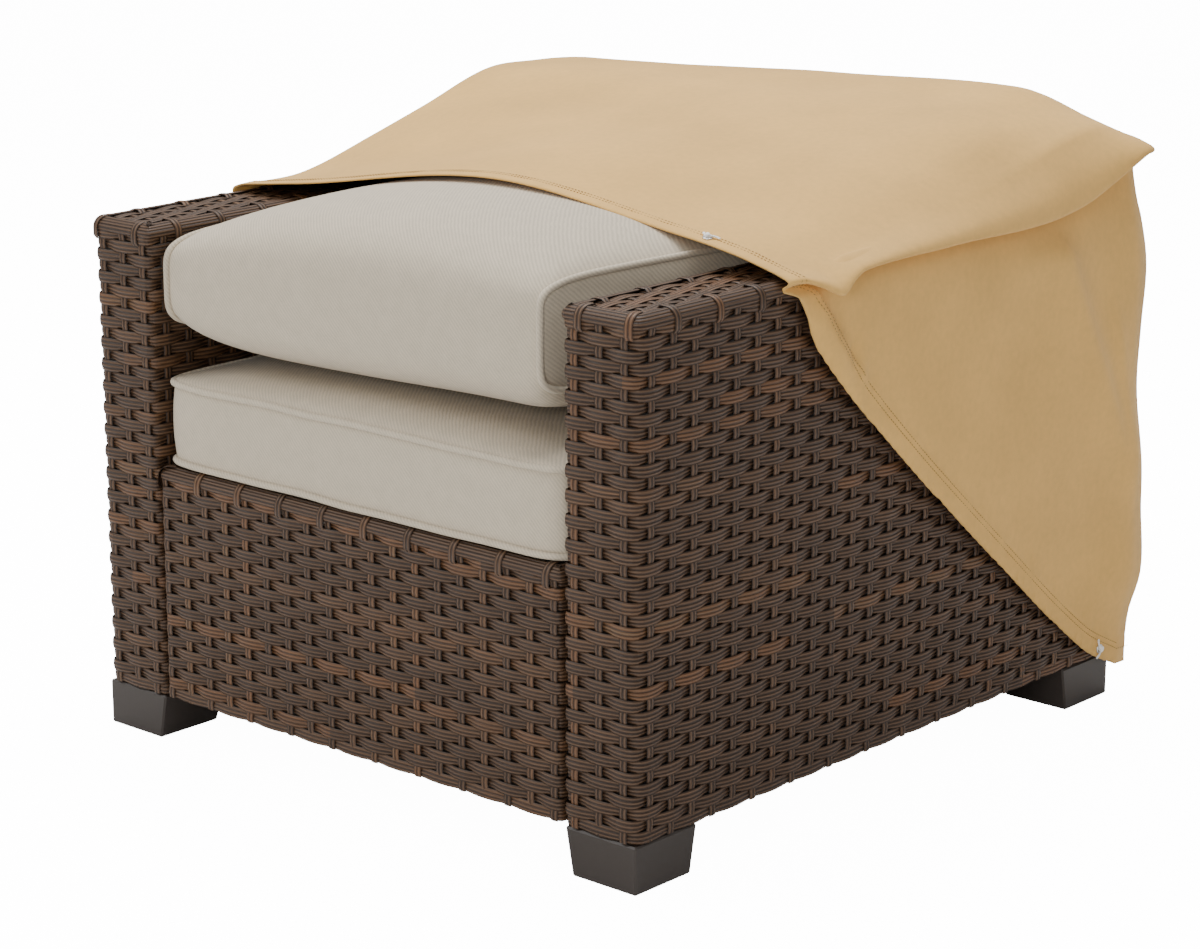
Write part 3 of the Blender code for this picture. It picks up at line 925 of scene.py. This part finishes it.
def build_arm(side, settings, materials):
    """One arm: woven sides and front, a flat-woven arm rest and its rolled border."""
    rng = random.Random(11 + side)
    bm = bmesh.new()
    layers = weave_layers(bm)
    outer = CHAIR_WIDTH / 2
    inner = outer - ARM_WIDTH
    front = -CHAIR_DEPTH / 2
    radii = (CORNER_RADIUS, INNER_CORNER_RADIUS)
    path = plan_path(side * outer, side * inner, BACK_FRONT, front, radii)
    weave_wall(bm, layers, rng, settings, path, -side, WEAVE_BOTTOM, ARM_TOP - UNDER_BORDER)
    edge = [(point, along.cross(UP) * -side) for point, along in path(0.0, BORDER_STEP)]
    lay_border(bm, layers, rng, edge, ARM_TOP)

    count = ARM_REST_STRANDS
    low_x, high_x = inner + ARM_REST_MARGIN, outer - ARM_REST_MARGIN
    pitch = (high_x - low_x) / count
    for row in range(count):
        x = side * (low_x + pitch * (row + 0.5))
        stations = []
        steps = round((BACK_FRONT - front - 2 * ARM_REST_START) / settings.stake_spacing * STRIDE_STEPS)
        for i in range(steps + 1):
            y = front + ARM_REST_START + settings.stake_spacing * i / STRIDE_STEPS
            wave = math.cos(math.pi * (i / STRIDE_STEPS + row))
            point = Vector((x, min(y, BACK_FRONT), ARM_TOP - ARM_REST_SINK))
            half = pitch * (0.50 + 0.02 * wave)
            stations.append((point, UP, Vector((0.0, 1.0, 0.0)), TOP_SWING * wave, half))
        lay_strand(bm, layers, stations, 3, brown(rng), 4, 0.0008)
    for k in range(int((BACK_FRONT - front) / settings.stake_spacing)):
        y = front + ARM_REST_START + settings.stake_spacing * k
        stations = []
        for step in range(count * 4 + 1):
            x = low_x + (high_x - low_x) * step / (count * 4)
            wave = -math.cos(math.pi * ((x - low_x) / pitch - 0.5 + k))
            point = Vector((side * x, y, ARM_TOP - ARM_REST_SINK))
            stations.append((point, UP, Vector((side, 0.0, 0.0)), 0.0009 * wave, 0.0050))
        lay_strand(bm, layers, stations, 2, brown(rng), 2)

    low = (min(side * inner, side * outer) + BACKING_DEPTH, front + BACKING_DEPTH, BACKING_BOTTOM)
    high = (max(side * inner, side * outer) - BACKING_DEPTH, BACK_FRONT - 0.001, ARM_TOP - 0.006)
    shade_backing(bm, low, high)
    name = "arm_right" if side > 0 else "arm_left"
    return finish_piece(f"{name}_wicker", bm, materials, [name])


def build_seat_front(settings, materials):
    """The woven panel under the cushions, between the arms."""
    rng = random.Random(5)
    bm = bmesh.new()
    layers = weave_layers(bm)
    half = CHAIR_WIDTH / 2 - ARM_WIDTH - 0.0015
    front = -CHAIR_DEPTH / 2 + 0.001
    path = plan_path(-half, half, front + 0.033, front, (INNER_CORNER_RADIUS, INNER_CORNER_RADIUS))
    weave_wall(bm, layers, rng, settings, path, 1, WEAVE_BOTTOM, SEAT_TOP - UNDER_BORDER)
    edge = [(point, along.cross(UP)) for point, along in path(0.0, BORDER_STEP)]
    lay_border(bm, layers, rng, edge, SEAT_TOP)
    low = (-half, front + BACKING_DEPTH, BACKING_BOTTOM)
    high = (half, BACK_FRONT - 0.001, SEAT_TOP - 0.004)
    shade_backing(bm, low, high)
    return finish_piece("seat_front_wicker", bm, materials, ["seat_base"])


def build_backrest(settings, materials):
    """The woven back: the side walls run on from the arms and round the back corners."""
    rng = random.Random(23)
    bm = bmesh.new()
    layers = weave_layers(bm)
    half = CHAIR_WIDTH / 2
    back = CHAIR_DEPTH / 2

    def narrow(z):
        over = max(z - (BACK_TOP - SHOULDER_RADIUS), 0.0)
        return SHOULDER_RADIUS - math.sqrt(max(SHOULDER_RADIUS**2 - over**2, 0.0))

    path = plan_path(half, -half, BACK_FRONT, back, (CORNER_RADIUS, CORNER_RADIUS), STRAND_SWING)
    top = BACK_TOP - 0.012
    weave_wall(bm, layers, rng, settings, path, 1, WEAVE_BOTTOM, top, narrow, across=2, steps=4)
    low = (-half + BACKING_DEPTH, BACK_FRONT, BACKING_BOTTOM)
    high = (half - BACKING_DEPTH, back - BACKING_DEPTH, BACK_TOP - SHOULDER_RADIUS)
    shade_backing(bm, low, high)
    low = (-half + SHOULDER_RADIUS, BACK_FRONT, FRAME_BOTTOM + 0.01)
    high = (half - SHOULDER_RADIUS, back - BACKING_DEPTH, BACK_TOP - 0.004)
    shade_backing(bm, low, high)
    return finish_piece("backrest_wicker", bm, materials, ["backrest"])


# The cushions


def superellipse(first, second, power):
    """A point of a square's outline or inside, drawn in so that the corners are rounded."""
    reach = max(abs(first), abs(second))
    if reach < 1e-9:
        return first, second
    a, b = abs(first) / reach, abs(second) / reach
    scale = (a**power + b**power) ** (-1 / power)
    return first * scale, second * scale


def seat_cushion_point(u, v, w):
    """A point of the seat cushion's surface, from coordinates of -1 to 1 across, back and up."""
    half_x = CHAIR_WIDTH / 2 - ARM_WIDTH
    low_y, high_y = -CHAIR_DEPTH / 2 + 0.010, BACK_FRONT - 0.002
    low_z = SEAT_TOP + 0.001
    plan_u, plan_v = superellipse(u, v, 18)
    x = half_x * plan_u
    y = (low_y + high_y) / 2 + (high_y - low_y) / 2 * plan_v
    z = low_z + SEAT_CUSHION_HEIGHT * (w + 1) / 2
    swell = max(1 - u * u, 0.0) ** 0.8 * max(1 - v**6, 0.0) ** 0.5
    if w > 0:
        z += w * SEAT_CUSHION_CROWN * swell
    bulge = 0.004 * (1 - w * w)
    x -= math.copysign(CUSHION_DRAW_IN * (1 - v * v) * abs(u) ** 3, u)
    x += math.copysign(0.6 * bulge * abs(u) ** 6, u)
    y += math.copysign(bulge * abs(v) ** 6, v) if v < 0 else 0.0
    wander = 0.0016 * noise.noise(Vector((x * 7, y * 7, w * 2 + 3)))
    return Vector((x, y, z + (wander if w > 0 else 0.0)))


def top_cushion_point(u, v, w):
    """A point of the top cushion: its faces run round the front and back, between two flat ends."""
    half_x = CHAIR_WIDTH / 2 - ARM_WIDTH
    low_y, high_y = -CHAIR_DEPTH / 2 + 0.008, BACK_FRONT - 0.004
    plan_v, plan_w = superellipse(v, w, 4.2 + (4.0 if u > 0 else 1.5) * u**6)
    half_height = TOP_CUSHION_HEIGHT / 2
    if w > 0:
        half_height += TOP_CUSHION_CROWN * max(1 - u * u, 0.0) ** (0.62 if u > 0 else 0.70)
    else:
        half_height += TOP_CUSHION_BELLY * max(1 - (u**8 if u > 0 else u**4), 0.0) ** 0.5
    x = half_x * u
    y = (low_y + high_y) / 2 + (high_y - low_y) / 2 * plan_v
    z = TOP_CUSHION_MIDDLE + half_height * plan_w + TOP_CUSHION_TILT * u
    x -= math.copysign(CUSHION_DRAW_IN * (1 - v * v) * abs(u) ** 3, u)
    front = smooth_step(0.1, -1.0, v)
    y += 0.010 * abs(u) ** 6 * front
    x -= (0.040 if u > 0 else -0.006) * abs(u) ** 5 * front
    x += math.copysign(0.004 * max(1 - v * v, 0.0) * max(1 - w * w, 0.0) * abs(u) ** 12, u)
    wander = 0.0020 * noise.noise(Vector((x * 6, y * 6, z * 6 + 3)))
    return Vector((x, y, z + wander))


def cushion_mesh(point_at, across, deep, tall):
    bm = box_between((-1.0, -1.0, -1.0), (1.0, 1.0, 1.0))
    for axis, count in enumerate((across, deep, tall)):
        cut_loops(bm, axis, evenly(-1.0, 1.0, count) + [-0.985, 0.985])
    for vert in bm.verts:
        vert.co = point_at(*vert.co)
    for _ in range(2):
        smoothed(bm, bm.verts, 0.35)
    return bm


def build_cushion(name, node, point_at, across, deep, tall, material):
    bm = cushion_mesh(point_at, across, deep, tall)
    cushion = finish_piece(name, bm, [material], [node])
    subdivision = cushion.modifiers.new("soft surface", "SUBSURF")
    subdivision.levels = 1
    subdivision.render_levels = 1


def square_loop(count):
    """Points round a square's outline, as pairs from -1 to 1."""
    for step in range(count):
        angle = math.tau * step / count
        first, second = math.cos(angle), math.sin(angle)
        reach = max(abs(first), abs(second))
        yield first / reach, second / reach


def build_cushions(settings, material):
    build_cushion("seat_cushion_pad", "seat_cushion", seat_cushion_point, 36, 34, 8, material)
    build_cushion("top_cushion_pad", "top_cushion", top_cushion_point, 40, 38, 16, material)
    radius = settings.piping_radius

    seams = []
    for w in (0.97, -0.97):
        points = []
        for u, v in square_loop(400):
            point = seat_cushion_point(u, v, w)
            outward = Vector((u**7, v**7, 0.0)).normalized()
            wave = 0.0022 * noise.noise(Vector((point.x * 11, point.y * 11, w)))
            points.append(point + outward * 0.0020 + UP * (wave + (-0.002 if w > 0 else 0.004)))
        seams.append(points)
    finish_tube("seat_cushion_piping", seams, radius, material)

    seams = []
    for u in (-0.985, 0.985):
        points = []
        for v, w in square_loop(260):
            outward = Vector((0.0, v**3, w**3)).normalized()
            points.append(top_cushion_point(u, v, w) + outward * 0.0008)
        seams.append(points)
    finish_tube("top_cushion_piping", seams, radius, material)


# Settings


def colour_setting(name, description, default):
    return FloatVectorProperty(
        name=name, description=description, subtype="COLOR", size=3, min=0.0, max=1.0, default=default
    )


def length_setting(name, description, default, low):
    return FloatProperty(name=name, description=description, unit="LENGTH", default=default, min=low)


class CoverSettings(bpy.types.PropertyGroup):
    """Sizes and colours of the cover."""

    cloth_colour: colour_setting("Cloth colour", "Colour of the cover's cloth", (0.74, 0.435, 0.120))
    cloth_thickness: length_setting("Cloth thickness", "Thickness of the cover's cloth", 0.0016, 0.0005)
    hem_width: length_setting("Hem width", "Width of the folded hem", 0.024, 0.01)
    stitch_length: length_setting("Stitch length", "Length of one thread stitch", 0.0034, 0.002)


class WickerSettings(bpy.types.PropertyGroup):
    """Sizes and colours of the chair's weave and feet."""

    strand_colour: colour_setting("Strand colour", "Middle brown of the woven strands", (0.071, 0.037, 0.018))
    foot_colour: colour_setting("Foot colour", "Colour of the moulded feet", (0.036, 0.026, 0.020))
    row_pitch: length_setting("Row pitch", "Height of one woven row", 0.0128, 0.006)
    stake_spacing: length_setting("Stake spacing", "Distance between upright stakes", 0.033, 0.015)


class CushionSettings(bpy.types.PropertyGroup):
    """Sizes and colours of the cushions."""

    cushion_colour: colour_setting("Cushion colour", "Colour of the cushions' cloth", (0.57, 0.49, 0.37))
    piping_radius: length_setting("Piping radius", "Radius of the cord sewn in the seams", 0.0039, 0.001)


class StageSettings(bpy.types.PropertyGroup):
    """The floor and the lights."""

    floor_colour: colour_setting("Floor colour", "Colour of the studio floor", (0.92, 0.92, 0.92))
    key_power: FloatProperty(
        name="Key light", description="Power of the main light", subtype="POWER", default=60.0, min=0.0
    )


# Operators


class CHAIRCOVER_OT_cover(bpy.types.Operator):
    """Drape the cover, with its hem stitching, eyelets and ties"""

    bl_idname = "chaircover.cover"
    bl_label = "Drape the cover"

    def execute(self, context):
        settings = context.scene.chair_cover
        cloth = cloth_material("cover_cloth", tuple(settings.cloth_colour))
        thread, _, _ = plain_material("hem_thread", tuple(c * 0.45 for c in settings.cloth_colour), 0.7)
        metal, _, _ = plain_material("eyelet_metal", (0.72, 0.71, 0.69), 0.28, 1.0)
        cord, _, _ = plain_material("tie_cord", (0.85, 0.84, 0.81), 0.8)
        bm = cover_mesh(settings.hem_width)
        sheet = finish_piece("cover_sheet", bm, [cloth], ["cover"])
        shell = sheet.modifiers.new("cloth thickness", "SOLIDIFY")
        shell.thickness = settings.cloth_thickness
        shell.offset = 0.0
        build_stitching(settings, thread)
        build_eyelet("front", Vector((FRONT_EYELET_X, FRONT_EYELET_Y, COVER_TOP)), metal, cord)
        height = side_hem_height(SIDE_EYELET_Y) + EYELET_INSET
        build_eyelet("side", Vector((COVER_HALF_WIDTH, SIDE_EYELET_Y, height)), metal, cord)
        return {"FINISHED"}


class CHAIRCOVER_OT_wicker(bpy.types.Operator):
    """Weave the chair's arms, seat front and back, and finish its feet"""

    bl_idname = "chaircover.wicker"
    bl_label = "Weave the chair"

    def execute(self, context):
        settings = context.scene.chair_wicker
        strand = strand_material("wicker", tuple(settings.strand_colour))
        # Painted shade: a near-black material for the boxes behind the weave, standing in for the shade
        # inside the chair.
        inner, _, _ = plain_material("wicker_painted_shade", (0.006, 0.005, 0.004), 0.9)
        build_arm(-1, settings, [strand, inner])
        build_arm(1, settings, [strand, inner])
        build_seat_front(settings, [strand, inner])
        build_backrest(settings, [strand, inner])
        foot = plastic_material("foot", tuple(settings.foot_colour))
        for name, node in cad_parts.items():
            if name.startswith("foot_"):
                node.material_slots[0].material = foot
        return {"FINISHED"}


class CHAIRCOVER_OT_cushions(bpy.types.Operator):
    """Fill the seat cushion and the top cushion, with their piping"""

    bl_idname = "chaircover.cushions"
    bl_label = "Fill the cushions"

    def execute(self, context):
        settings = context.scene.chair_cushions
        build_cushions(settings, twill_material("cushion_cloth", tuple(settings.cushion_colour)))
        return {"FINISHED"}


def area_light(name, place, aim, size, power):
    light = bpy.data.lights.new(name, "AREA")
    light.shape = "SQUARE"
    light.size = size
    light.energy = power
    obj = bpy.data.objects.new(name, light)
    obj.location = place
    obj.rotation_euler = (Vector(place) - Vector(aim)).to_track_quat("Z", "Y").to_euler()
    bpy.context.scene.collection.objects.link(obj)


class CHAIRCOVER_OT_stage(bpy.types.Operator):
    """Set up the floor, the lights and the camera"""

    bl_idname = "chaircover.stage"
    bl_label = "Set the stage"

    def execute(self, context):
        settings = context.scene.chair_stage
        floor_finish, tree, shader = plain_material("studio_floor", tuple(settings.floor_colour), 0.9)
        seen = linked(tree, "ShaderNodeLightPath").outputs["Is Camera Ray"]
        shader.inputs["Emission Color"].default_value = (1.0, 1.0, 1.0, 1.0)
        tree.links.new(maths(tree, "MULTIPLY", seen, 14.0), shader.inputs["Emission Strength"])
        bm = bmesh.new()
        bmesh.ops.create_grid(bm, x_segments=1, y_segments=1, size=20.0)
        mesh = bpy.data.meshes.new("studio_floor")
        bm.to_mesh(mesh)
        bm.free()
        mesh.materials.append(floor_finish)
        floor = bpy.data.objects.new("studio_floor", mesh)
        context.scene.collection.objects.link(floor)

        world = bpy.data.worlds.new("studio")
        world.use_nodes = True
        sky = world.node_tree.nodes["Background"]
        sky.inputs["Color"].default_value = (1.0, 1.0, 1.0, 1.0)
        sky.inputs["Strength"].default_value = 0.53
        context.scene.world = world
        area_light("key", (-2.2, -2.4, 3.0), (0.0, 0.0, 0.3), 2.0, settings.key_power)
        area_light("top", (-0.3, 0.4, 3.4), (0.0, 0.0, 0.3), 2.4, settings.key_power * 1.95)
        area_light("side", (1.9, -3.4, 1.5), (0.1, 0.0, 0.4), 0.8, settings.key_power * 0.50)

        camera_data = bpy.data.cameras.new("camera")
        camera_data.lens = CAMERA_LENS
        camera_data.sensor_width = 36.0
        camera = bpy.data.objects.new("camera", camera_data)
        back = CAMERA_RIGHT.cross(CAMERA_UP)
        turn = Matrix((CAMERA_RIGHT, CAMERA_UP, back)).transposed().to_4x4()
        camera.matrix_world = Matrix.Translation(CAMERA_PLACE) @ turn
        context.scene.collection.objects.link(camera)
        context.scene.camera = camera
        return {"FINISHED"}


class CHAIRCOVER_PT_panel(bpy.types.Panel):
    """The chair cover's steps"""

    bl_label = "Chair cover"
    bl_space_type = "VIEW_3D"
    bl_region_type = "UI"
    bl_category = "Chair cover"

    def draw(self, context):
        for group in ("chair_cover", "chair_wicker", "chair_cushions", "chair_stage"):
            settings = getattr(context.scene, group)
            for name in settings.__annotations__:
                self.layout.prop(settings, name)
        for operator in OPERATORS:
            self.layout.operator(operator.bl_idname)


GROUPS = {
    "chair_cover": CoverSettings,
    "chair_wicker": WickerSettings,
    "chair_cushions": CushionSettings,
    "chair_stage": StageSettings,
}
OPERATORS = (CHAIRCOVER_OT_cover, CHAIRCOVER_OT_wicker, CHAIRCOVER_OT_cushions, CHAIRCOVER_OT_stage)


def register():
    for group in GROUPS.values():
        bpy.utils.register_class(group)
    for name, group in GROUPS.items():
        setattr(bpy.types.Scene, name, PointerProperty(type=group))
    for operator in OPERATORS:
        bpy.utils.register_class(operator)
    bpy.utils.register_class(CHAIRCOVER_PT_panel)


def unregister():
    bpy.utils.unregister_class(CHAIRCOVER_PT_panel)
    for operator in reversed(OPERATORS):
        bpy.utils.unregister_class(operator)
    for name in GROUPS:
        delattr(bpy.types.Scene, name)
    for group in reversed(GROUPS.values()):
        bpy.utils.unregister_class(group)


def main():
    register()
    bpy.ops.chaircover.cover()
    bpy.ops.chaircover.wicker()
    bpy.ops.chaircover.cushions()
    bpy.ops.chaircover.stage()
    bpy.context.view_layer.update()


if __name__ == "__main__":
    main()
